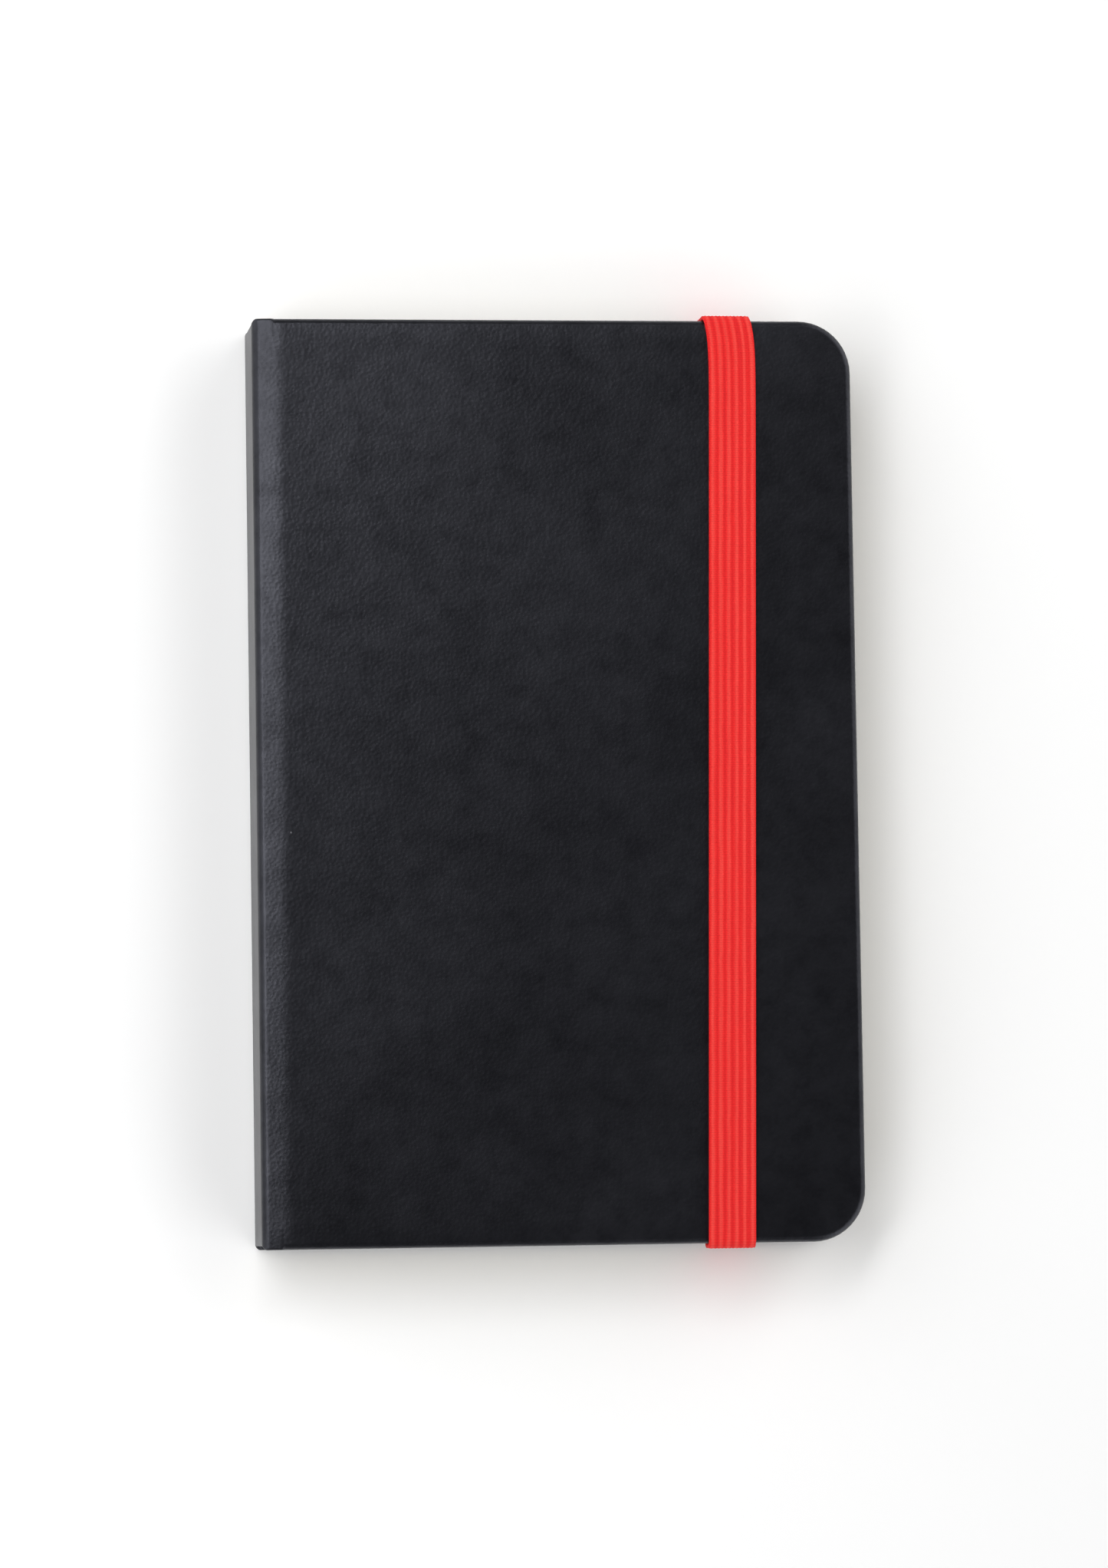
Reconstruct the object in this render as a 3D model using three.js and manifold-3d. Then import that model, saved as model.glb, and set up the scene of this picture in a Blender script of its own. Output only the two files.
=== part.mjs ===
// Pocket notebook with a hard cover and an elastic closure band, in millimetres.
// It lies closed on its back cover: +X runs from the spine to the fore edge, +Y to the head and
// +Z from the back cover to the front cover. The origin is under the middle of the back cover.
import * as THREE from 'three';
import Module from 'manifold-3d';

// Driving dimensions of the case
const COVER_WIDTH = 91.5;
const COVER_HEIGHT = 140;
const FORE_CORNER_RADIUS = 8;
const SPINE_CORNER_RADIUS = 0.6;
const SKIN = 0.35;
const BOARD = 2;
const TURN_IN_WIDTH = 12;
const HINGE_WIDTH = 3.4;
const SPINE_CARD = 0.45;
const SHOULDER = 3.4;

// Driving dimensions of the book block
const ENDPAPER = 0.15;
const LEAF = 0.09;
const LEAF_PITCH = 0.13;
const LEAVES_PER_SIGNATURE = 8;
const SIGNATURE = 0.74;
const SIGNATURES_PER_HALF = 5;
const PAGE_HEIGHT = 136;
const PAGE_CORNER_RADIUS = 6.5;
const FORE_SQUARE = 2;
const SPINE_LINING = 0.1;
const THREAD_RADIUS = 0.1;
const THREAD_SPACING = 26;
const THREADS = 5;

// Driving dimensions of the closure band
const BAND_WIDTH = 7.2;
const BAND = 0.7;
const BAND_FROM_FORE_EDGE = 19.2;
const BAND_END_LENGTH = 18;
const BAND_STANDOFF = 0.1;

// Gap that keeps neighbouring pieces apart
const GAP = 0.05;

// Heights of the layers of one half, counted from the outside of its cover
const BOARD_BOTTOM = SKIN + GAP;
const BOARD_TOP = BOARD_BOTTOM + BOARD;
const REBATE_FLOOR = BOARD_TOP - SKIN - GAP;
const PASTEDOWN_BOTTOM = BOARD_TOP + GAP;
const FLYLEAF_BOTTOM = PASTEDOWN_BOTTOM + ENDPAPER + GAP;
const BLOCK_BOTTOM = FLYLEAF_BOTTOM + ENDPAPER + GAP;
const HALF_BLOCK = SIGNATURES_PER_HALF * (SIGNATURE + GAP);
const CENTRE_BOTTOM = BLOCK_BOTTOM + HALF_BLOCK;
const THICKNESS = 2 * CENTRE_BOTTOM + LEAVES_PER_SIGNATURE * LEAF_PITCH;

// Places across the width
const FORE_EDGE = COVER_WIDTH / 2;
const SPINE_FACE = -COVER_WIDTH / 2;
const BOARD_START = SPINE_FACE + HINGE_WIDTH;
const CARD_START = SPINE_FACE + SKIN + GAP;
const LINING_START = CARD_START + SPINE_CARD + GAP;
const THREAD_CENTRE = LINING_START + SPINE_LINING + GAP + THREAD_RADIUS;
const PAGE_START = THREAD_CENTRE + THREAD_RADIUS + GAP;
const PAGE_END = FORE_EDGE - FORE_SQUARE;
const LEAF_START = PAGE_START + 0.6;
const BAND_CENTRE = FORE_EDGE - BAND_FROM_FORE_EDGE;

const manifold = await Module();
manifold.setup();

const finish = (color, roughness) => ({ color, roughness, metalness: 0 });
const LEATHERETTE = finish(0x1b1b1e, 0.62);
const GREYBOARD = finish(0x8d8578, 0.9);
const ENDPAPER_STOCK = finish(0xe9dfc6, 0.85);
const PAGE_STOCK = finish(0xf1e8d0, 0.85);
const ELASTIC = finish(0xd92f2c, 0.75);
const GAUZE = finish(0xe6e2d8, 0.9);
const THREAD = finish(0xf4f1ea, 0.8);

const notebook = new THREE.Group();

function addPiece(name, geometry, surface) {
  const mesh = new THREE.Mesh(geometry, new THREE.MeshStandardMaterial(surface));
  mesh.name = name;
  notebook.add(mesh);
}

// Heights of a layer: given from the outside of the back cover, or turned over for the front cover
function layer(side, low, high) {
  return side === 'back' ? [low, high] : [THICKNESS - high, THICKNESS - low];
}

function block(x, y, z) {
  const solid = new THREE.BoxGeometry(x[1] - x[0], y[1] - y[0], z[1] - z[0]);
  return solid.translate((x[0] + x[1]) / 2, (y[0] + y[1]) / 2, (z[0] + z[1]) / 2);
}

// A flat panel with small corners at the spine and round corners at the fore edge
function panel(x, height, foreRadius, spineRadius, z) {
  const [left, right] = x;
  const top = height / 2;
  const outline = new THREE.Shape();
  outline.moveTo(left + spineRadius, -top);
  outline.lineTo(right - foreRadius, -top);
  outline.absarc(right - foreRadius, -top + foreRadius, foreRadius, -Math.PI / 2, 0);
  outline.lineTo(right, top - foreRadius);
  outline.absarc(right - foreRadius, top - foreRadius, foreRadius, 0, Math.PI / 2);
  outline.lineTo(left + spineRadius, top);
  outline.absarc(left + spineRadius, top - spineRadius, spineRadius, Math.PI / 2, Math.PI);
  outline.lineTo(left, -top + spineRadius);
  outline.absarc(left + spineRadius, -top + spineRadius, spineRadius, Math.PI, 1.5 * Math.PI);
  const depth = z[1] - z[0];
  const solid = new THREE.ExtrudeGeometry(outline, { depth, bevelEnabled: false, curveSegments: 10 });
  return solid.translate(0, 0, z[0]);
}

function toManifold(geometry) {
  const flat = geometry.index ? geometry.toNonIndexed() : geometry;
  const position = Float32Array.from(flat.attributes.position.array);
  const corners = Uint32Array.from(position.keys()).subarray(0, position.length / 3);
  const mesh = new manifold.Mesh({ numProp: 3, vertProperties: position, triVerts: corners });
  mesh.merge();
  return new manifold.Manifold(mesh);
}

function subtract(geometry, ...cutters) {
  const cut = cutters.reduce((left, cutter) => left.subtract(toManifold(cutter)), toManifold(geometry));
  const mesh = cut.getMesh();
  const result = new THREE.BufferGeometry();
  result.setAttribute('position', new THREE.BufferAttribute(mesh.vertProperties, 3));
  result.setIndex(new THREE.BufferAttribute(mesh.triVerts, 1));
  return result.toNonIndexed();
}

// The band's glued ends lie in a recess of the back board and its turn-ins, under the pastedown
const BAND_END_HEIGHT = [BOARD_TOP - BAND, BOARD_TOP];
const BAND_ACROSS = [BAND_CENTRE - BAND_WIDTH / 2, BAND_CENTRE + BAND_WIDTH / 2];

function bandEnd(sign, clearance) {
  const outer = COVER_HEIGHT / 2 + clearance;
  const inner = COVER_HEIGHT / 2 - BAND_END_LENGTH - clearance;
  return block(
    [BAND_ACROSS[0] - clearance, BAND_ACROSS[1] + clearance],
    sign > 0 ? [inner, outer] : [-outer, -inner],
    [BAND_END_HEIGHT[0] - clearance, BAND_END_HEIGHT[1] + clearance],
  );
}

const bandRecesses = (side) => (side === 'back' ? [bandEnd(1, GAP), bandEnd(-1, GAP)] : []);

// Board: full thickness in the middle, stepped down where the covering is turned in over it
function addBoard(side) {
  const inset = SKIN + GAP;
  const radius = FORE_CORNER_RADIUS - inset;
  const x = [BOARD_START, FORE_EDGE - inset];
  const height = COVER_HEIGHT - 2 * inset;
  const body = panel(x, height, radius, SPINE_CORNER_RADIUS, layer(side, BOARD_BOTTOM, BOARD_TOP));
  const step = layer(side, REBATE_FLOOR, BOARD_TOP + 1);
  const frame = panel([x[0] - 1, x[1] + 1], height + 2, radius + 1, SPINE_CORNER_RADIUS, step);
  const margin = TURN_IN_WIDTH + GAP;
  const inside = panel(
    [x[0] - 2, FORE_EDGE - margin], COVER_HEIGHT - 2 * margin, 1, SPINE_CORNER_RADIUS,
    layer(side, REBATE_FLOOR - 1, BOARD_TOP + 2),
  );
  addPiece(`${side}_board`, subtract(body, subtract(frame, inside), ...bandRecesses(side)), GREYBOARD);
}

// Covering: outer face, the hinge strip out to the spine, the wrapped edges and the turn-ins
function addCoverSkin(side) {
  const outerX = [SPINE_FACE + GAP, FORE_EDGE];
  const body = panel(outerX, COVER_HEIGHT, FORE_CORNER_RADIUS, SPINE_CORNER_RADIUS, layer(side, 0, BOARD_TOP));
  const pocket = panel(
    [BOARD_START - 1, FORE_EDGE - SKIN], COVER_HEIGHT - 2 * SKIN, FORE_CORNER_RADIUS - SKIN,
    SPINE_CORNER_RADIUS, layer(side, SKIN, REBATE_FLOOR + GAP),
  );
  const mouth = panel(
    [BOARD_START - 1, FORE_EDGE - TURN_IN_WIDTH], COVER_HEIGHT - 2 * TURN_IN_WIDTH, 1,
    SPINE_CORNER_RADIUS, layer(side, SKIN + 1, BOARD_TOP + 1),
  );
  const hinge = block(
    [SPINE_FACE - 1, BOARD_START - GAP], [-COVER_HEIGHT, COVER_HEIGHT], layer(side, SKIN, BOARD_TOP + 1),
  );
  addPiece(`${side}_cover_skin`, subtract(body, pocket, mouth, hinge, ...bandRecesses(side)), LEATHERETTE);
}

// Endpaper: one half glued to the board, the other half free beside the block
function addEndpaper(side) {
  const pasted = layer(side, PASTEDOWN_BOTTOM, PASTEDOWN_BOTTOM + ENDPAPER);
  const loose = layer(side, FLYLEAF_BOTTOM, FLYLEAF_BOTTOM + ENDPAPER);
  const radius = PAGE_CORNER_RADIUS;
  const glued = panel([BOARD_START - 2, PAGE_END - 0.5], PAGE_HEIGHT - 1, radius, 0.2, pasted);
  addPiece(`${side}_pastedown`, glued, ENDPAPER_STOCK);
  addPiece(`${side}_flyleaf`, panel([PAGE_START, PAGE_END], PAGE_HEIGHT, radius, 0.2, loose), ENDPAPER_STOCK);
}

// Sewn signatures of one half, the outermost first
function addSignatures(side) {
  for (let n = 0; n < SIGNATURES_PER_HALF; n += 1) {
    const low = BLOCK_BOTTOM + n * (SIGNATURE + GAP);
    const number = side === 'front' ? n + 1 : 2 * SIGNATURES_PER_HALF + 1 - n;
    const section = panel(
      [PAGE_START, PAGE_END], PAGE_HEIGHT, PAGE_CORNER_RADIUS, 0.2, layer(side, low, low + SIGNATURE),
    );
    addPiece(`signature_${String(number).padStart(2, '0')}`, section, PAGE_STOCK);
  }
}

for (const side of ['back', 'front']) {
  addBoard(side);
  addCoverSkin(side);
  addEndpaper(side);
  addSignatures(side);
}

// Leaves of the middle signature, where the notebook opens: leaf_1 is nearest the front cover
for (let n = 1; n <= LEAVES_PER_SIGNATURE; n += 1) {
  const high = THICKNESS - CENTRE_BOTTOM - (n - 1) * LEAF_PITCH;
  const leaf = panel([LEAF_START, PAGE_END], PAGE_HEIGHT, PAGE_CORNER_RADIUS, 0.2, [high - LEAF, high]);
  addPiece(`leaf_${n}`, leaf, PAGE_STOCK);
}

// Spine: covering, stiffener card, gauze lining and the sewing stitches on the backs of the signatures
function spineStrip(start, thickness, height, margin) {
  return block([start, start + thickness], [-height / 2, height / 2], [margin, THICKNESS - margin]);
}

addPiece('spine_skin', spineStrip(SPINE_FACE, SKIN, COVER_HEIGHT, SKIN + GAP), LEATHERETTE);
addPiece('spine_card', spineStrip(CARD_START, SPINE_CARD, COVER_HEIGHT - 1, SHOULDER), GREYBOARD);
addPiece('spine_lining', spineStrip(LINING_START, SPINE_LINING, PAGE_HEIGHT - 10, BLOCK_BOTTOM), GAUZE);
for (let n = 1; n <= THREADS; n += 1) {
  const length = THICKNESS - 2 * BLOCK_BOTTOM;
  const stitch = new THREE.CylinderGeometry(THREAD_RADIUS, THREAD_RADIUS, length, 8).rotateX(Math.PI / 2);
  stitch.translate(THREAD_CENTRE, (n - (THREADS + 1) / 2) * THREAD_SPACING, THICKNESS / 2);
  addPiece(`sewing_thread_${n}`, stitch, THREAD);
}

// Closure band: over the front cover and down past the head and tail, with its ends glued inside
addPiece('elastic_end_head', bandEnd(1, 0), ELASTIC);
addPiece('elastic_end_tail', bandEnd(-1, 0), ELASTIC);

const inner = COVER_HEIGHT / 2 + BAND_STANDOFF;
const outer = inner + BAND;
const bandBody = block(BAND_ACROSS, [-outer, outer], [BAND_END_HEIGHT[0], THICKNESS + GAP + BAND]);
const bandInside = block([-FORE_EDGE, FORE_EDGE], [-inner, inner], [-1, THICKNESS + GAP]);
addPiece('elastic_band', subtract(bandBody, bandInside), ELASTIC);

export default notebook;
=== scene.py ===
"""Pocket notebook: leatherette hard case, sewn pages and a ribbed elastic closure band."""
import math

import bpy
import numpy as np
from mathutils import Matrix, Vector


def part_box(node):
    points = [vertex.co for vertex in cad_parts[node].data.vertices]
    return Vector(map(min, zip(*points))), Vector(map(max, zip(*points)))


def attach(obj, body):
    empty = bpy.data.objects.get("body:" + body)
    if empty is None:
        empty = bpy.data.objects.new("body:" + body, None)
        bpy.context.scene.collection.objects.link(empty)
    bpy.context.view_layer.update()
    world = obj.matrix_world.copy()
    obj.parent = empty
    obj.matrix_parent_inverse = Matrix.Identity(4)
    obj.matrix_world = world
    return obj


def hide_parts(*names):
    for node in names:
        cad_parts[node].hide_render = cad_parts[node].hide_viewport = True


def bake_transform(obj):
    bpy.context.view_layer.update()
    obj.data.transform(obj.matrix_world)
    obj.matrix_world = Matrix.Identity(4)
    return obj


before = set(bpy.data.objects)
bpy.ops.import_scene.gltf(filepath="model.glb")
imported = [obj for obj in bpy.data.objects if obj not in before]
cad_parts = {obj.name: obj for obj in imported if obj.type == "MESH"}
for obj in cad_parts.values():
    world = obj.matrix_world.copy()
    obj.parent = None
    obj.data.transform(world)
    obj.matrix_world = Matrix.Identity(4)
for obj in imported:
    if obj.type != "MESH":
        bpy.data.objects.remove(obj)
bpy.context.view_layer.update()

MM = 0.001

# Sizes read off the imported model, in millimetres


def node_box(name):
    low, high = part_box(name)
    return [c / MM for c in low], [c / MM for c in high]


front_high = node_box("front_cover_skin")[1]
spine_low, spine_high = node_box("spine_skin")
board_low, board_high = node_box("back_board")
page_low, page_high = node_box("signature_05")
band_low, band_high = node_box("elastic_band")
end_low, end_high = node_box("elastic_end_head")
paste_low, paste_high = node_box("back_pastedown")
fly_low, fly_high = node_box("back_flyleaf")

THICKNESS = front_high[2]
HALF_HEIGHT = front_high[1]
FORE = front_high[0]
SPINE = spine_low[0]
SKIN = spine_high[0] - spine_low[0]
CASE = board_high[2]
BOARD_START = board_low[0]
PAGE_START, PAGE_END = page_low[0], page_high[0]
PAGE_HALF = page_high[1]
BAND_CENTRE = (band_low[0] + band_high[0]) / 2
BAND_WIDTH = band_high[0] - band_low[0]
BAND_STANDOFF = 0.1
BAND = band_high[1] - front_high[1] - BAND_STANDOFF

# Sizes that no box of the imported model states
CORNER = 8.0
PAGE_CORNER = 6.5
TURN_IN = 12.0
SHEET = 0.075
ENDPAPER_SHEET = 0.13

scatter = np.random.default_rng(7)


# ---------------------------------------------------------------- materials


def new_material(name):
    material = bpy.data.materials.new(name)
    material.use_nodes = True
    nodes = material.node_tree.nodes
    return material, nodes, material.node_tree.links, nodes["Principled BSDF"]


def add(nodes, kind, **settings):
    node = nodes.new(kind)
    for key, value in settings.items():
        if key in node.inputs:
            node.inputs[key].default_value = value
        else:
            setattr(node, key, value)
    return node


def ramp(nodes, stops):
    node = nodes.new("ShaderNodeValToRGB")
    elements = node.color_ramp.elements
    while len(elements) < len(stops):
        elements.new(0.5)
    for element, (place, colour) in zip(elements, stops):
        element.position = place
        element.color = (*colour, 1)
    return node


def grey(value):
    return (value, value, value)


def leatherette():
    """Matt black covering: mottled tone, fine pebbled grain and a few specks of dust."""
    material, nodes, links, shader = new_material("leatherette")
    place = add(nodes, "ShaderNodeTexCoord")
    cloud = add(nodes, "ShaderNodeTexNoise", Scale=45.0, Detail=5.0, Roughness=0.6)
    pebble = add(nodes, "ShaderNodeTexVoronoi", feature="SMOOTH_F1", Scale=1900.0, Smoothness=0.6)
    fibre = add(nodes, "ShaderNodeTexNoise", Scale=1500.0, Detail=4.0, Roughness=0.65)
    dust = add(nodes, "ShaderNodeTexVoronoi", feature="F1", Scale=150.0)
    for texture in (cloud, pebble, fibre, dust):
        links.new(place.outputs["Object"], texture.inputs["Vector"])
    tone = ramp(nodes, [(0.3, (0.0010, 0.0010, 0.0015)), (0.7, (0.0020, 0.0020, 0.0028))])
    links.new(cloud.outputs["Fac"], tone.inputs["Fac"])
    speck = ramp(nodes, [(0.022, grey(1.0)), (0.036, grey(0.0))])
    links.new(dust.outputs["Distance"], speck.inputs["Fac"])
    rare = ramp(nodes, [(0.72, grey(0.0)), (0.76, grey(0.7))])
    links.new(dust.outputs["Color"], rare.inputs["Fac"])
    amount = add(nodes, "ShaderNodeMath", operation="MULTIPLY")
    links.new(speck.outputs["Color"], amount.inputs[0])
    links.new(rare.outputs["Color"], amount.inputs[1])
    mix = add(nodes, "ShaderNodeMix", data_type="RGBA")
    mix.inputs["B"].default_value = (0.16, 0.16, 0.17, 1)
    links.new(amount.outputs[0], mix.inputs["Factor"])
    links.new(tone.outputs["Color"], mix.inputs["A"])
    links.new(mix.outputs["Result"], shader.inputs["Base Color"])
    rough = ramp(nodes, [(0.25, grey(0.33)), (0.75, grey(0.40))])
    links.new(cloud.outputs["Fac"], rough.inputs["Fac"])
    links.new(rough.outputs["Color"], shader.inputs["Roughness"])
    blots = add(nodes, "ShaderNodeTexNoise", Scale=260.0, Detail=6.0, Roughness=0.7)
    links.new(place.outputs["Object"], blots.inputs["Vector"])
    gloss = ramp(nodes, [(0.3, grey(0.36)), (0.5, grey(0.5)), (0.72, grey(0.6))])
    links.new(blots.outputs["Fac"], gloss.inputs["Fac"])
    links.new(gloss.outputs["Color"], shader.inputs["Specular IOR Level"])
    shader.inputs["Specular Tint"].default_value = (0.84, 0.86, 1.0, 1)
    grain = add(nodes, "ShaderNodeBump", Strength=0.3, Distance=0.00007)
    links.new(pebble.outputs["Distance"], grain.inputs["Height"])
    fine = add(nodes, "ShaderNodeBump", Strength=0.25, Distance=0.00004)
    links.new(fibre.outputs["Fac"], fine.inputs["Height"])
    links.new(grain.outputs["Normal"], fine.inputs["Normal"])
    links.new(fine.outputs["Normal"], shader.inputs["Normal"])
    return material


def paper(name, light, dark, ruled=False):
    """Uncoated stock with fibre mottle; pages also carry faint ruled lines inside their margins."""
    material, nodes, links, shader = new_material(name)
    place = add(nodes, "ShaderNodeTexCoord")
    fibre = add(nodes, "ShaderNodeTexNoise", Scale=900.0, Detail=6.0, Roughness=0.7)
    links.new(place.outputs["Object"], fibre.inputs["Vector"])
    tone = ramp(nodes, [(0.3, dark), (0.7, light)])
    links.new(fibre.outputs["Fac"], tone.inputs["Fac"])
    colour = tone.outputs["Color"]
    if ruled:
        sheet = add(nodes, "ShaderNodeSeparateXYZ")
        links.new(add(nodes, "ShaderNodeUVMap", uv_map="sheet").outputs["UV"], sheet.inputs[0])
        # v counts rulings, so a line lies where its fraction is small; u is 0 to 1 across the page
        line = add(nodes, "ShaderNodeMath", operation="PINGPONG")
        line.inputs[1].default_value = 0.5
        links.new(sheet.outputs["Y"], line.inputs[0])
        on_line = ramp(nodes, [(0.012, grey(1.0)), (0.03, grey(0.0))])
        links.new(line.outputs[0], on_line.inputs["Fac"])
        inside = ramp(nodes, [
            (0.0, grey(0.0)), (0.004, grey(0.75)), (0.99, grey(0.75)), (0.994, grey(0.0)),
        ])
        links.new(sheet.outputs["X"], inside.inputs["Fac"])
        amount = add(nodes, "ShaderNodeMath", operation="MULTIPLY")
        links.new(on_line.outputs["Color"], amount.inputs[0])
        links.new(inside.outputs["Color"], amount.inputs[1])
        mix = add(nodes, "ShaderNodeMix", data_type="RGBA")
        mix.inputs["B"].default_value = (0.42, 0.42, 0.4, 1)
        links.new(amount.outputs[0], mix.inputs["Factor"])
        links.new(colour, mix.inputs["A"])
        colour = mix.outputs["Result"]
    links.new(colour, shader.inputs["Base Color"])
    rough = ramp(nodes, [(0.3, grey(0.8)), (0.7, grey(0.92))])
    links.new(fibre.outputs["Fac"], rough.inputs["Fac"])
    links.new(rough.outputs["Color"], shader.inputs["Roughness"])
    bump = add(nodes, "ShaderNodeBump", Strength=0.3, Distance=0.00002)
    links.new(fibre.outputs["Fac"], bump.inputs["Height"])
    links.new(bump.outputs["Normal"], shader.inputs["Normal"])
    shader.inputs["Specular IOR Level"].default_value = 0.3
    return material


def woven_elastic():
    """Red warp-ribbed elastic: lengthwise streaks from the sheet map, crosswise weave as bump and
    as painted shade that darkens its hollows.
    """
    material, nodes, links, shader = new_material("woven_elastic")
    uv = add(nodes, "ShaderNodeUVMap", uv_map="sheet")
    streaks = add(nodes, "ShaderNodeMapping")
    streaks.inputs["Scale"].default_value = (1.0, 0.045, 1.0)
    links.new(uv.outputs["UV"], streaks.inputs["Vector"])
    streak = add(nodes, "ShaderNodeTexNoise", Scale=1.1, Detail=4.0, Roughness=0.6)
    links.new(streaks.outputs["Vector"], streak.inputs["Vector"])
    tone = ramp(nodes, [
        (0.22, (0.66, 0.008, 0.010)),
        (0.45, (0.75, 0.014, 0.013)),
        (0.72, (0.82, 0.050, 0.040)),
    ])
    cords = add(nodes, "ShaderNodeTexWave", wave_type="BANDS", bands_direction="X")
    cords.inputs["Scale"].default_value = 0.26
    cords.inputs["Distortion"].default_value = 0.5
    links.new(uv.outputs["UV"], cords.inputs["Vector"])
    both = add(nodes, "ShaderNodeMix", data_type="FLOAT")
    both.inputs["Factor"].default_value = 0.42
    links.new(streak.outputs["Fac"], both.inputs["A"])
    links.new(cords.outputs["Fac"], both.inputs["B"])
    links.new(both.outputs["Result"], tone.inputs["Fac"])
    weave = add(nodes, "ShaderNodeTexWave", wave_type="BANDS", bands_direction="Y")
    weave.inputs["Scale"].default_value = 0.9
    weave.inputs["Distortion"].default_value = 1.2
    weave.inputs["Detail"].default_value = 1.0
    links.new(uv.outputs["UV"], weave.inputs["Vector"])
    # painted shade: the colour is darkened where the weave's bump is low, in its hollows
    painted_weave_shade = ramp(nodes, [(0.0, grey(0.86)), (0.6, grey(1.0))])
    links.new(weave.outputs["Fac"], painted_weave_shade.inputs["Fac"])
    mix = add(nodes, "ShaderNodeMix", data_type="RGBA", blend_type="MULTIPLY")
    mix.inputs["Factor"].default_value = 0.8
    links.new(tone.outputs["Color"], mix.inputs["A"])
    links.new(painted_weave_shade.outputs["Color"], mix.inputs["B"])
    links.new(mix.outputs["Result"], shader.inputs["Base Color"])
    rough = ramp(nodes, [(0.2, grey(0.62)), (0.8, grey(0.8))])
    links.new(streak.outputs["Fac"], rough.inputs["Fac"])
    links.new(rough.outputs["Color"], shader.inputs["Roughness"])
    bump = add(nodes, "ShaderNodeBump", Strength=0.5, Distance=0.00006)
    links.new(weave.outputs["Fac"], bump.inputs["Height"])
    links.new(bump.outputs["Normal"], shader.inputs["Normal"])
    shader.inputs["Specular IOR Level"].default_value = 0.25
    return material


def fibrous(name, light, dark, scale, roughness):
    """Raw board, gauze or thread: fibre mottle in colour, roughness and bump."""
    material, nodes, links, shader = new_material(name)
    place = add(nodes, "ShaderNodeTexCoord")
    fibre = add(nodes, "ShaderNodeTexNoise", Scale=scale, Detail=8.0, Roughness=0.75)
    links.new(place.outputs["Object"], fibre.inputs["Vector"])
    tone = ramp(nodes, [(0.35, dark), (0.65, light)])
    links.new(fibre.outputs["Fac"], tone.inputs["Fac"])
    links.new(tone.outputs["Color"], shader.inputs["Base Color"])
    rough = ramp(nodes, [(0.3, grey(roughness - 0.08)), (0.7, grey(roughness))])
    links.new(fibre.outputs["Fac"], rough.inputs["Fac"])
    links.new(rough.outputs["Color"], shader.inputs["Roughness"])
    bump = add(nodes, "ShaderNodeBump", Strength=0.5, Distance=0.00008)
    links.new(fibre.outputs["Fac"], bump.inputs["Height"])
    links.new(bump.outputs["Normal"], shader.inputs["Normal"])
    return material


LEATHERETTE = leatherette()
PAGES = paper("page_paper", (0.80, 0.745, 0.60), (0.73, 0.67, 0.52), ruled=True)
ENDPAPER = paper("endpaper", (0.78, 0.71, 0.54), (0.71, 0.635, 0.46))
ELASTIC = woven_elastic()
GREYBOARD = fibrous("greyboard", (0.30, 0.27, 0.22), (0.17, 0.15, 0.12), 700.0, 0.95)
GAUZE = fibrous("lining_gauze", (0.80, 0.77, 0.69), (0.55, 0.52, 0.46), 1600.0, 0.95)
THREAD = fibrous("sewing_thread", (0.88, 0.85, 0.78), (0.66, 0.62, 0.55), 3000.0, 0.85)


# ---------------------------------------------------------------- mesh helpers


def make_piece(name, vertices, faces, material, uv=None):
    """A smooth mesh object from millimetre vertices; uv is one (u, v) for each vertex."""
    mesh = bpy.data.meshes.new(name)
    mesh.from_pydata([tuple(c * MM for c in v) for v in vertices], [], faces)
    mesh.validate()
    mesh.materials.append(material)
    if uv is not None:
        layer = mesh.uv_layers.new(name="sheet")
        corners = np.zeros(len(mesh.loops), int)
        mesh.loops.foreach_get("vertex_index", corners)
        layer.data.foreach_set("uv", np.asarray(uv, float)[corners].ravel())
    mesh.shade_smooth()
    piece = bpy.data.objects.new(name, mesh)
    bpy.context.scene.collection.objects.link(piece)
    return piece


def apply_modifiers(piece):
    bpy.context.view_layer.update()
    shaped = piece.evaluated_get(bpy.context.evaluated_depsgraph_get())
    mesh = bpy.data.meshes.new_from_object(shaped)
    piece.modifiers.clear()
    piece.data = mesh


def thicken(piece, thickness):
    """Give a sheet its thickness, half to each side."""
    solid = piece.modifiers.new("thickness", "SOLIDIFY")
    solid.thickness = thickness * MM
    solid.offset = 0
    solid.use_even_offset = True
    apply_modifiers(piece)
    soften(piece)
    return piece


def soften(piece, degrees=40):
    """Smooth shading, with the sharp edges of sheets and boards kept sharp."""
    piece.data.shade_smooth()
    piece.data.set_sharp_from_angle(angle=math.radians(degrees))


def grid_faces(columns, rows, first=0, closed_rows=False):
    """Quads between columns of points that are numbered one after the other from first."""
    faces = []
    for i in range(columns - 1):
        for j in range(rows if closed_rows else rows - 1):
            a = first + i * rows + j
            b = first + i * rows + (j + 1) % rows
            faces.append((a, b, b + rows, a + rows))
    return faces


def smoothstep(t):
    t = np.clip(t, 0, 1)
    return t * t * (3 - 2 * t)


def turn_over(vertices, faces):
    """The back cover's half of a piece made for the front: mirrored in the middle plane."""
    mirrored = np.array(vertices, float)
    mirrored[:, 2] = THICKNESS - mirrored[:, 2]
    return mirrored, [tuple(reversed(f)) for f in faces]


# ---------------------------------------------------------------- the case

# The covering's section, from the flat cover to the spine: how far it has turned, in degrees, by
# arc length in millimetres. It slopes gently off the board and then rounds into the spine.
SECTION_TURNS = [(0.0, 0.0), (1.6, 6.0), (3.9, 7.5), (5.6, 90.0)]


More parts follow.
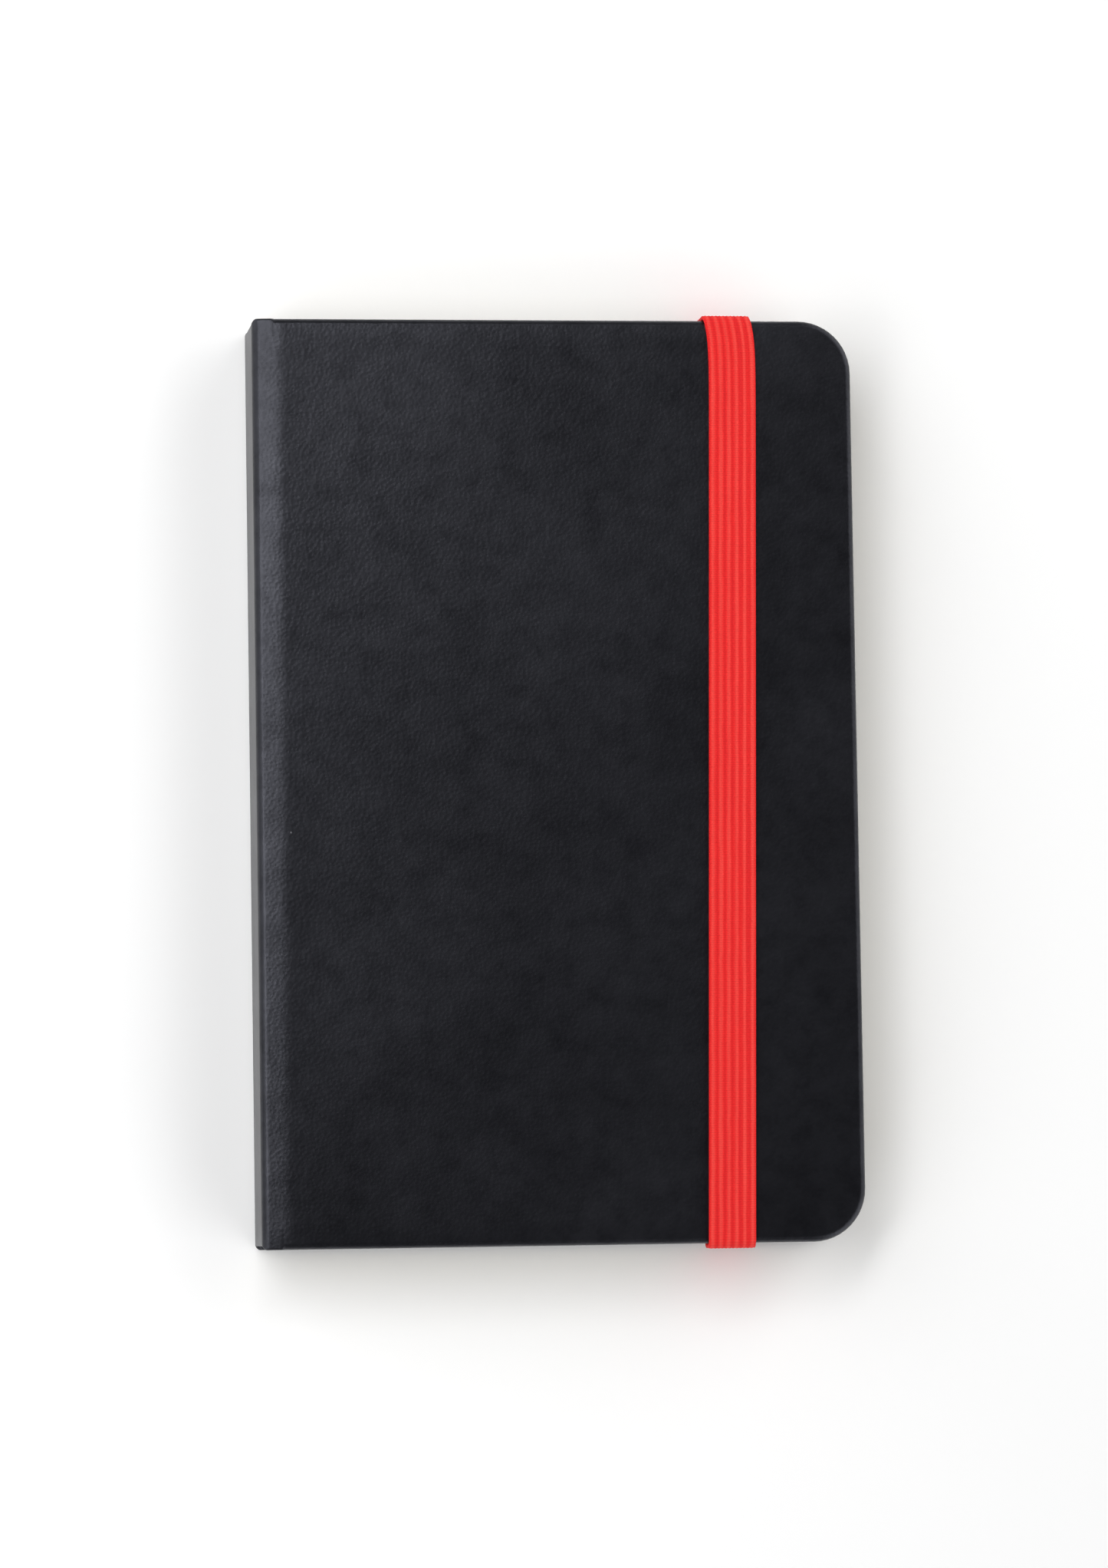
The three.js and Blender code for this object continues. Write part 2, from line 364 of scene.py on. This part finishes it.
def covering_section():
    """Arc length, x and z along the covering from the middle of the spine to the shoulder's end."""
    step = 0.02
    lengths, angles = zip(*SECTION_TURNS)
    arc = np.arange(0, lengths[-1] + step, step)
    angle = np.radians(np.interp(arc, lengths, angles))
    across = np.concatenate([[0], np.cumsum(np.cos(angle[:-1]) * step)])
    down = np.concatenate([[0], np.cumsum(np.sin(angle[:-1]) * step)])
    flat_x = SPINE + across[-1]
    straight = THICKNESS / 2 - down[-1]
    x = np.concatenate([flat_x - across, [SPINE]])
    z = np.concatenate([THICKNESS - down, [THICKNESS / 2]])
    arc = np.concatenate([arc, [arc[-1] + straight]])
    # s runs the other way and equals x on the flat cover
    return (flat_x - arc)[::-1], x[::-1], z[::-1]


SECTION_S, SECTION_X, SECTION_Z = covering_section()
SPINE_MIDDLE = SECTION_S[0]
SHOULDER_END = SECTION_S[-1]


def on_covering(s):
    """(x, z, outward x, outward z) of the covering's outer face at s."""
    s = np.asarray(s, float)
    x = np.where(s < SHOULDER_END, np.interp(s, SECTION_S, SECTION_X), s)
    z = np.where(s < SHOULDER_END, np.interp(s, SECTION_S, SECTION_Z), THICKNESS)
    small = 0.05
    ahead, behind = s + small, s - small
    dx = np.interp(ahead, SECTION_S, SECTION_X) - np.interp(behind, SECTION_S, SECTION_X)
    dz = np.interp(ahead, SECTION_S, SECTION_Z) - np.interp(behind, SECTION_S, SECTION_Z)
    dx = np.where(s > SHOULDER_END - small, 1.0, dx)
    dz = np.where(s > SHOULDER_END - small, 0.0, dz)
    size = np.hypot(dx, dz)
    return x, z, -dz / size, dx / size


def case_thickness(s):
    """Board and covering where there is a board, and two layers of covering beyond it."""
    thin = 2 * SKIN + 0.06
    return thin + (CASE - thin) * smoothstep((np.asarray(s) - (BOARD_START - 0.5)) / 0.7)


EDGE_ROUNDING = 0.95
SPINE_CORNER = 0.6
INNER_CORNER = 0.6

# Where the covering has points: closely over the spine and its shoulder, more widely on the flat,
# then up to the fore corner, round it, and up the fore edge
DENSE = np.linspace(SPINE_MIDDLE, SHOULDER_END + 2.5, 56)
MIDDLE = np.linspace(SHOULDER_END + 2.5, 18.0, 26)[1:]
NEAR, TURN, RISE = 14, 12, 44
SIDE = len(DENSE) + len(MIDDLE)
LOOP = 2 * (SIDE + NEAR + TURN) + RISE


def spine_corner(s):
    """How much the case falls short of its full height where the spine's corners are rounded."""
    past = SPINE_CORNER + SPINE - np.interp(s, SECTION_S, SECTION_X)
    missing = np.clip(past, 0, SPINE_CORNER)
    return SPINE_CORNER - np.sqrt(SPINE_CORNER ** 2 - missing ** 2)


def edge_loop(inset):
    """(s, y) points inside the cover's edge by inset: along the tail, up the fore edge, back along
    the head. inset may differ from point to point."""
    inset = np.broadcast_to(np.asarray(inset, float), (LOOP,))
    radius = np.maximum(CORNER - inset, INNER_CORNER)
    corner_x = FORE - inset - radius
    corner_y = HALF_HEIGHT - inset - radius
    s, y = np.zeros(LOOP), np.zeros(LOOP)
    for sign, first, direction in ((-1, 0, 1), (1, LOOP - 1, -1)):
        at = first + direction * np.arange(SIDE)
        s[at] = np.concatenate([DENSE, MIDDLE])
        y[at] = sign * (HALF_HEIGHT - inset[at] - spine_corner(s[at]))
        at = first + direction * (SIDE + np.arange(NEAR))
        s[at] = MIDDLE[-1] + (corner_x[at] - MIDDLE[-1]) * (np.arange(NEAR) + 1) / NEAR
        y[at] = sign * (HALF_HEIGHT - inset[at])
        at = first + direction * (SIDE + NEAR + np.arange(TURN))
        angle = (np.arange(TURN) + 1) / TURN * math.pi / 2
        s[at] = corner_x[at] + radius[at] * np.sin(angle)
        y[at] = sign * (corner_y[at] + radius[at] * np.cos(angle))
    at = SIDE + NEAR + TURN + np.arange(RISE)
    s[at] = FORE - inset[at]
    y[at] = corner_y[at] * np.linspace(-1, 1, RISE + 2)[1:-1]
    return s, y


WAVE_HEIGHT = 0.035


def case_waviness(s, y):
    """The slight unevenness of a glued covering, in millimetres."""
    return WAVE_HEIGHT * np.sin(s / 9.0 + 1.3 * np.sin(y / 17.0)) * np.cos(y / 13.0 + s / 23.0)


def band_recess(s, y):
    """How deep the back board is pressed in where the band's glued ends lie."""
    across = smoothstep((BAND_WIDTH / 2 + 0.9 - np.abs(s - BAND_CENTRE)) / 0.7)
    along = smoothstep((np.abs(y) - (end_low[1] - 0.8)) / 0.8)
    return (BAND + 0.05) * across * along


def cover_skin(side):
    """Covering of one cover and half the spine: outer face, wrapped edges and turn-ins."""
    vertices, faces = [], []

    def add_points(s, y, depth):
        x, z, out_x, out_z = on_covering(s)
        if side == "back":
            depth = depth - band_recess(s, y) * np.clip((depth - 0.9) / 1.1, 0, 1)
        near_face = np.clip(1 - depth / 0.5, 0, 1) * np.clip((s - SHOULDER_END) / 4, 0, 1)
        wave = case_waviness(s, y) - (WAVE_HEIGHT if side == "back" else 0)
        # only the outer face is uneven, and not over the shoulder
        depth = depth - wave * near_face
        first = len(vertices)
        vertices.extend(zip(x - out_x * depth, y, z - out_z * depth))
        return list(range(first, len(vertices)))

    thick = case_thickness(edge_loop(0.0)[0])
    radius = np.minimum(EDGE_ROUNDING, thick / 2 - 0.01)
    columns, rows = SIDE + NEAR + TURN, RISE + 2

    def add_face(depth):
        """The broad face in columns from the spine to the fore edge, and its rim."""
        s, y = edge_loop(radius)
        across = np.repeat(s[:columns], rows)
        along = np.outer(-y[:columns], np.linspace(-1, 1, rows)).ravel()
        points = add_points(across, along, np.full(len(across), depth))
        fore = points[-rows + 1:-1]
        return points, points[0::rows] + fore + points[rows - 1::rows][::-1]

    def add_side(near, rounding):
        """Loops down the edge and along the turn-in, at a distance near inside the surface."""
        loops = []
        quarter = [step / 6 * math.pi / 2 for step in range(7)]
        for angle in quarter[1:]:
            inset = near + rounding * (1 - math.sin(angle))
            depth = near + rounding * (1 - math.cos(angle))
            loops.append(add_points(*edge_loop(inset), depth))
        for angle in quarter:
            inset = near + rounding * (1 - math.cos(angle))
            depth = thick - near - rounding * (1 - math.sin(angle))
            loops.append(add_points(*edge_loop(inset), depth))
        for inset in (2.0, 4.0, 7.0, TURN_IN):
            loops.append(add_points(*edge_loop(inset), thick - near))
        return loops

    outer_points, outer_rim = add_face(0.0)
    inner_points, inner_rim = add_face(SKIN)
    outer = [outer_rim] + add_side(0.0, radius)
    inner = [inner_rim] + add_side(SKIN, np.maximum(radius - SKIN, 0.02))
    faces += [tuple(outer_points[k] for k in reversed(f)) for f in grid_faces(columns, rows)]
    faces += [tuple(inner_points[k] for k in f) for f in grid_faces(columns, rows)]
    for above, below in zip(outer, outer[1:]):
        faces += [(above[j], below[j], below[j + 1], above[j + 1]) for j in range(LOOP - 1)]
    for above, below in zip(inner, inner[1:]):
        faces += [(above[j + 1], below[j + 1], below[j], above[j]) for j in range(LOOP - 1)]
    # the turn-in's free edge, and the cut at the middle of the spine
    out_end, in_end = outer[-1], inner[-1]
    faces += [(out_end[j], in_end[j], in_end[j + 1], out_end[j + 1]) for j in range(LOOP - 1)]
    outer_cut, inner_cut = (
        [loop[-1] for loop in loops[::-1]] + points[rows - 2:0:-1] + [loop[0] for loop in loops]
        for loops, points in ((outer, outer_points), (inner, inner_points))
    )
    for j in range(len(outer_cut) - 1):
        faces.append((inner_cut[j], inner_cut[j + 1], outer_cut[j + 1], outer_cut[j]))
    if side == "back":
        vertices, faces = turn_over(vertices, faces)
    piece = make_piece(f"{side}_cover_leatherette", vertices, faces, LEATHERETTE)
    soften(piece)
    return piece


def plate(columns, halves, shares, lower, upper, chamfer):
    """Vertices and faces of a closed plate: columns across it with their half lengths, rows as
    shares of those, a flat lower face with a chamfered edge, and upper(across, along) heights."""
    middle = (columns[0] + columns[-1]) / 2
    narrow = 1 - 2 * chamfer / (columns[-1] - columns[0])
    shorten = 1 - chamfer / np.max(halves)
    rows = len(shares)
    across = np.repeat(columns, rows)
    along = np.outer(halves, shares).ravel()
    layers = [
        (middle + (across - middle) * narrow, along * shorten, np.full(len(across), lower)),
        (across, along, np.full(len(across), lower + chamfer)),
        (across, along, upper(across, along)),
    ]
    vertices, rims = [], []
    for layer in layers:
        first = len(vertices)
        vertices.extend(zip(*layer))
        points = list(range(first, len(vertices)))
        rims.append(
            points[0::rows] + points[-rows + 1:] + points[rows - 1::rows][-2::-1]
            + points[rows - 2:0:-1]
        )
    size, faces = len(across), grid_faces(len(columns), rows)
    faces += [tuple(k + 2 * size for k in reversed(f)) for f in faces]
    for below, above in zip(rims, rims[1:]):
        for j in range(len(below)):
            k = (j + 1) % len(below)
            faces.append((below[j], below[k], above[k], above[j]))
    return vertices, faces


def add_board(name, vertices, faces, node, body):
    piece = make_piece(name, vertices, faces, GREYBOARD)
    soften(piece, 30)
    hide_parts(node)
    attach(piece, body)


def cover_board(side):
    """Greyboard, let down under the turn-ins; the back one is also cut away for the band's ends."""
    inset = SKIN + 0.05
    fore, half, corner = FORE - inset, HALF_HEIGHT - inset, CORNER - inset
    step_x, step_y = FORE - TURN_IN - 0.1, HALF_HEIGHT - TURN_IN - 0.1
    angle = np.linspace(0, math.pi / 2, 11)
    # closer columns and rows where the recess and the turn-ins' step begin and end
    flat = np.sort(np.concatenate([
        np.linspace(BOARD_START, 20, 14), np.linspace(21.5, 24, 6), np.linspace(29, 31.5, 6),
        [step_x - 0.05, step_x + 0.05],
    ]))
    columns = np.concatenate([flat, fore - corner + corner * np.sin(angle)])
    halves = np.concatenate([np.full(len(flat), half), half - corner + corner * np.cos(angle)])
    upward = np.concatenate([
        np.linspace(0, 50, 6), np.linspace(50.8, 52.5, 6), [step_y - 0.05, step_y + 0.05, 64, half],
    ])
    shares = np.concatenate([-upward[:0:-1], upward]) / half

    def upper(x, y):
        let_down = np.where((x > step_x) | (np.abs(y) > step_y), SKIN + 0.05, 0.0)
        cut = band_recess(x, y) if side == "back" else 0.0
        return board_high[2] - let_down - cut

    vertices, faces = plate(columns, halves, shares, board_low[2], upper, 0.4)
    if side == "front":
        vertices, faces = turn_over(vertices, faces)
    add_board(f"{side}_greyboard", vertices, faces, f"{side}_board", f"{side}_cover")


def spine_stiffener():
    """Thin card inside the spine, between the turn-ins."""
    low, high = node_box("spine_card")
    columns = np.linspace(low[2], high[2], 8)
    halves = np.full(len(columns), HALF_HEIGHT - TURN_IN - 0.2)
    shares = np.linspace(-1, 1, 12)

    def upper(x, y):
        return np.full(len(x), high[0])

    points, faces = plate(columns, halves, shares, low[0], upper, 0.08)
    add_board("spine_stiffener", [(c, -b, a) for a, b, c in points], faces, "spine_card", "spine")


def build_case():
    """Both covers, their covering thin between the spine and their board's edge, and the spine's
    card.
    """
    for side in ("front", "back"):
        piece = cover_skin(side)
        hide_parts(f"{side}_cover_skin")
        if side == "front":
            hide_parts("spine_skin")
        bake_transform(piece)
        cover_board(side)
    spine_stiffener()


# ---------------------------------------------------------------- pages


def sheet_columns(start, end, corner, curve):
    """(x, share of the half height) columns of a sheet whose far end has round corners."""
    near = start + (curve - start) * np.linspace(0, 1, 22) ** 1.5
    far = np.linspace(curve, end - corner, 6)[1:]
    angle = np.linspace(0, math.pi / 2, 9)[1:]
    xs = np.concatenate([near, far, end - corner + corner * np.sin(angle)])
    half = np.concatenate([
        np.full(len(near) + len(far), PAGE_HALF),
        PAGE_HALF - corner + corner * np.cos(angle),
    ])
    return xs, half


def fold_arc(x, z, reach, low, high, steps=7):
    """Points of the fold between two leaves: z from low to high, bulging to x - reach."""
    angle = np.linspace(low, high, steps)
    return x - reach * np.cos(angle), z + reach * np.sin(angle)


# Spacing of the ruled lines; the half step keeps a line off the tail edge
RULING = 6.0


def add_sheet(store, xs, zs, halves):
    """One sheet as a strip of columns, in store's vertices, faces and uv."""
    vertices, faces, uv = store
    rows = 5
    first = len(vertices)
    share = np.linspace(-1, 1, rows)
    for x, z, half in zip(xs, zs, halves):
        vertices.extend((x, half * t, z) for t in share)
        across = (x - PAGE_START) / (PAGE_END - PAGE_START)
        uv.extend((across, (half * t + PAGE_HALF) / RULING + 0.5) for t in share)
    faces.extend(grid_faces(len(xs), rows, first))


def leaf_reach(start, bend_zone):
    """Columns of a free leaf, with its trimmed edge a hair off its neighbours'."""
    trim = scatter.uniform(-0.035, 0.035)
    return sheet_columns(start, PAGE_END - 0.03 + trim, PAGE_CORNER, start + max(bend_zone, 4.0))


def signature(name, bend_zone):
    """A sewn section: four folded sheets, one inside the other, sewn at the spine."""
    low, high = node_box(name)
    pitch = (high[2] - low[2]) / 8
    store = ([], [], [])
    for sheet in range(4):
        reach = (7 - 2 * sheet) / 2 * pitch
        middle = (low[2] + high[2]) / 2
        fold_x = PAGE_START + SHEET / 2 + 0.02 + sheet * pitch + reach
        xs, halves = leaf_reach(fold_x, bend_zone)
        fold_xs, fold_zs = fold_arc(fold_x, middle, reach, math.pi / 2, -math.pi / 2)
        path_x = np.concatenate([xs[::-1], fold_xs[1:-1], xs])
        path_z = np.concatenate([
            np.full(len(xs), middle + reach), fold_zs[1:-1], np.full(len(xs), middle - reach),
        ])
        half = np.concatenate([halves[::-1], np.full(len(fold_xs) - 2, PAGE_HALF), halves])
        add_sheet(store, path_x, path_z, half)
    piece = thicken(make_piece(f"{name}_leaves", store[0], store[1], PAGES, store[2]), SHEET)
    finish_pages(piece, [name])


def finish_pages(piece, nodes):
    """Hide the nodes the pages stand for, and bake the pages' placement into their mesh."""
    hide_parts(*nodes)
    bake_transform(piece)


def middle_leaf(number, bend_zone):
    """One leaf of the middle section, with its half of the fold it shares with its partner."""
    low, high = node_box(f"leaf_{number}")
    level = (low[2] + high[2]) / 2
    partner_low, partner_high = node_box(f"leaf_{9 - number}")
    middle = (level + (partner_low[2] + partner_high[2]) / 2) / 2
    reach = abs(level - middle)
    fold_x = PAGE_START + SHEET / 2 + 0.02 + min(number - 1, 8 - number) * 0.1 + reach
    xs, halves = leaf_reach(fold_x, bend_zone)
    turn = math.copysign(math.pi / 2, level - middle)
    fold_xs, fold_zs = fold_arc(fold_x, middle, reach, 0, turn, 4)
    store = ([], [], [])
    add_sheet(
        store, np.concatenate([fold_xs[:-1], xs]),
        np.concatenate([fold_zs[:-1], np.full(len(xs), level)]),
        np.concatenate([np.full(3, PAGE_HALF), halves]),
    )
    piece = thicken(make_piece(f"leaf_{number}_page", store[0], store[1], PAGES, store[2]), SHEET)
    finish_pages(piece, [f"leaf_{number}"])


def endpaper(side):
    """A folded endpaper: one half pasted to the board, the other free against the block."""
    gap = (fly_low[2] + fly_high[2] - paste_low[2] - paste_high[2]) / 4
    middle = (fly_low[2] + fly_high[2] + paste_low[2] + paste_high[2]) / 4
    fold_x = PAGE_START + 0.3 + gap
    xs, halves = sheet_columns(fold_x, PAGE_END, PAGE_CORNER, fold_x + 5)
    pasted_xs, pasted_halves = sheet_columns(fold_x, paste_high[0], PAGE_CORNER, fold_x + 5)
    fold_xs, fold_zs = fold_arc(fold_x, middle, gap, -math.pi / 2, math.pi / 2)
    path_x = np.concatenate([pasted_xs[::-1], fold_xs[1:-1], xs])
    path_z = np.concatenate([
        np.full(len(pasted_xs), middle - gap), fold_zs[1:-1], np.full(len(xs), middle + gap),
    ])
    half = np.concatenate([pasted_halves[::-1] - 0.5, np.full(len(fold_xs) - 2, PAGE_HALF), halves])
    store = ([], [], [])
    add_sheet(store, path_x, path_z, half)
    vertices, faces, uv = store
    if side == "front":
        vertices, faces = turn_over(vertices, faces)
    piece = thicken(make_piece(f"{side}_endpaper", vertices, faces, ENDPAPER, uv), ENDPAPER_SHEET)
    nodes = [f"{side}_pastedown", f"{side}_flyleaf"]
    finish_pages(piece, nodes)


def build_pages():
    for side in ("front", "back"):
        endpaper(side)
    # how far from the spine each section's columns lie close, from the cover inwards, in
    # millimetres
    zones = (4.0, 6.0, 8.0, 10.0, 12.0)
    for step, zone in enumerate(zones):
        signature(f"signature_{step + 1:02d}", zone)
        signature(f"signature_{11 - step:02d}", zone)
    for number in range(1, 9):
        middle_leaf(number, 42.0 + 4.0 * abs(number - 4.5))


# ---------------------------------------------------------------- closure band

# The ribs, how far the band is pulled over at the head edge, its skew on the cover, and how far
# from the cover's middle it meets its glued ends
RIBS = 13
RIB_HEIGHT = 0.08
HEAD_LEAN = 1.16
LEAN_FADE = 2.8
BAND_SKEW = 0.0174
SKEW_CENTRE = 14.0
BAND_JOIN = 65.0


def band_section():
    """(across, out) points round the band's ribbed section."""
    across = np.linspace(-1, 1, RIBS * 5 + 1)
    rib = np.abs(np.cos(np.linspace(0.5, RIBS + 0.5, len(across)) * math.pi))
    edge = np.sqrt(np.clip(1 - np.clip((np.abs(across) - 0.95) / 0.05, 0, 1) ** 2, 0.02, 1))
    out = (BAND / 2 - RIB_HEIGHT + RIB_HEIGHT * (1 - rib)) * edge
    top = np.stack([across * BAND_WIDTH / 2, out], 1)
    bottom = np.stack([across[::-1] * BAND_WIDTH / 2, -out[::-1]], 1)
    return np.concatenate([top, bottom])


def arc_points(centre, radius, start, end, steps):
    angle = np.radians(np.linspace(start, end, steps))
    return [(centre[0] + radius * math.cos(a), centre[1] + radius * math.sin(a)) for a in angle]


def band_route():
    """(y, z) points of the band's middle from inside the tail of the back cover to the head."""
    inner_z = end_high[2] - BAND / 2
    side_y = band_high[1] - BAND / 2
    top_z = band_high[2] - BAND / 2
    bend = 1.1
    half = [(y, inner_z) for y in np.linspace(BAND_JOIN, side_y - bend, 8)[:-1]]
    half += arc_points((side_y - bend, inner_z + bend), bend, -90, 0, 9)
    half += [(side_y, z) for z in np.linspace(inner_z + bend, top_z - bend, 20)[1:-1]]
    half += arc_points((side_y - bend, top_z - bend), bend, 0, 90, 11)
    half += [(y, top_z) for y in np.linspace(side_y - bend, 0, 48)[1:]]
    return [(-y, z) for y, z in half] + half[-2::-1]


def band_lean(y, z):
    """The band lies a little askew, and is pulled towards the spine where it leaves over the head
    edge. Down the sides it comes back to where its ends are glued."""
    askew = BAND_SKEW * (y - SKEW_CENTRE)
    pulled = -HEAD_LEAN * math.exp(-(band_high[1] - y) / LEAN_FADE)
    down = np.clip((z - end_high[2]) / (THICKNESS - end_high[2]), 0, 1)
    return (askew + pulled) * down


def sweep_band(name, route):
    """The ribbed section carried along a route of (y, z) points, closed at both ends."""
    section = band_section()
    route = np.array(route)
    tangent = np.gradient(route, axis=0)
    tangent /= np.linalg.norm(tangent, axis=1)[:, None]
    length = np.concatenate([[0], np.cumsum(np.linalg.norm(np.diff(route, axis=0), axis=1))])
    vertices, uv = [], []
    for (y, z), (ty, tz), run in zip(route, tangent, length):
        centre = BAND_CENTRE + band_lean(y, z)
        # outward is the run's left, away from the book
        for across, out in section:
            vertices.append((centre + across, y - tz * out, z + ty * out))
            uv.append((across, run))
    faces = grid_faces(len(route), len(section), closed_rows=True)
    faces.append(tuple(reversed(range(len(section)))))
    last = (len(route) - 1) * len(section)
    faces.append(tuple(range(last, last + len(section))))
    piece = make_piece(name, vertices, faces, ELASTIC, uv)
    soften(piece, 60)
    return piece


def build_band():
    band = sweep_band("closure_band", band_route())
    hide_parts("elastic_band")
    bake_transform(band)
    for end, sign in (("head", 1), ("tail", -1)):
        middle = end_high[2] - BAND / 2
        route = [(sign * y, middle) for y in np.linspace(end_low[1], BAND_JOIN, 14)]
        tape = sweep_band(f"band_tape_{end}", route[::-sign])
        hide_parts(f"elastic_end_{end}")
        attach(tape, "back_cover")


# ---------------------------------------------------------------- CAD nodes that stay


def dress_hidden_parts():
    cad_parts["spine_lining"].material_slots[0].material = GAUZE
    for name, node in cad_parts.items():
        if name.startswith("sewing_thread"):
            node.material_slots[0].material = THREAD


# ---------------------------------------------------------------- stage


def make_floor():
    mesh = bpy.data.meshes.new("floor")
    reach = 3.0
    corners = [(-reach, -reach, 0), (reach, -reach, 0), (reach, reach, 0), (-reach, reach, 0)]
    mesh.from_pydata(corners, [], [(0, 1, 2, 3)])
    floor = bpy.data.objects.new("floor", mesh)
    bpy.context.scene.collection.objects.link(floor)
    material, _, _, shader = new_material("floor_white")
    shader.inputs["Base Color"].default_value = (0.93, 0.93, 0.93, 1)
    shader.inputs["Roughness"].default_value = 0.9
    shader.inputs["Specular IOR Level"].default_value = 0.1
    mesh.materials.append(material)


def area_light(name, place, target, size, power):
    light = bpy.data.lights.new(name, "AREA")
    light.shape = "RECTANGLE"
    light.size, light.size_y = size
    light.energy = power
    lamp = bpy.data.objects.new(name, light)
    lamp.location = place
    lamp.rotation_euler = (Vector(target) - Vector(place)).to_track_quat("-Z", "Y").to_euler()
    bpy.context.scene.collection.objects.link(lamp)


def make_light():
    world = bpy.data.worlds.new("studio")
    bpy.context.scene.world = world
    world.use_nodes = True
    # bright at the horizon and dim overhead, where the covers would mirror it
    nodes, links = world.node_tree.nodes, world.node_tree.links
    height = add(nodes, "ShaderNodeSeparateXYZ")
    links.new(add(nodes, "ShaderNodeTexCoord").outputs["Generated"], height.inputs[0])
    sky = ramp(nodes, [(0.0, grey(0.6)), (0.2, grey(0.5)), (0.5, grey(0.03)), (1.0, grey(0.02))])
    links.new(height.outputs["Z"], sky.inputs["Fac"])
    links.new(sky.outputs["Color"], nodes["Background"].inputs["Color"])
    # the default view turns the band's red pale
    bpy.context.scene.view_settings.view_transform = "Standard"
    area_light("key", (-0.165, 0.09, 0.43), (-0.02, 0.0, 0), (0.5, 0.11), 1.2)
    # four broad lights set low, so that they whiten the floor and leave the covers dark
    for number, (x, y) in enumerate(((-1.3, 0.9), (1.3, 0.9), (-1.3, -0.9), (1.3, -0.9))):
        area_light(f"fill_{number}", (x, y, 0.8), (0, 0, 0), (1.7, 1.7), 15.0)


# The camera looks almost straight down, from a little towards the spine and the tail
CAMERA_DISTANCE = 0.9
CAMERA_TO_SPINE = 7.667
CAMERA_TO_TAIL = 4.218
CAMERA_ROLL = -0.873
SENSOR_HEIGHT = 36
LENS = 135.997
TARGET = (0.085 * MM, -0.075 * MM, THICKNESS / 2 * MM)


def make_camera():
    towards_spine, towards_tail = math.radians(CAMERA_TO_SPINE), math.radians(CAMERA_TO_TAIL)
    back = Vector((
        -math.sin(towards_spine) * math.cos(towards_tail),
        -math.sin(towards_tail),
        math.cos(towards_spine) * math.cos(towards_tail),
    ))
    right = Vector((0, 1, 0)).cross(back).normalized()
    up = back.cross(right)
    roll = math.radians(CAMERA_ROLL)
    turned_right = right * math.cos(roll) + up * math.sin(roll)
    turned_up = up * math.cos(roll) - right * math.sin(roll)
    data = bpy.data.cameras.new("camera")
    data.sensor_fit = "VERTICAL"
    data.sensor_height = SENSOR_HEIGHT
    data.lens = LENS
    data.clip_start = 0.01
    camera = bpy.data.objects.new("camera", data)
    camera.matrix_world = Matrix((turned_right, turned_up, back)).transposed().to_4x4()
    camera.location = Vector(TARGET) + back * CAMERA_DISTANCE
    bpy.context.scene.collection.objects.link(camera)
    bpy.context.scene.camera = camera


build_case()
build_pages()
build_band()
dress_hidden_parts()
make_floor()
make_light()
make_camera()
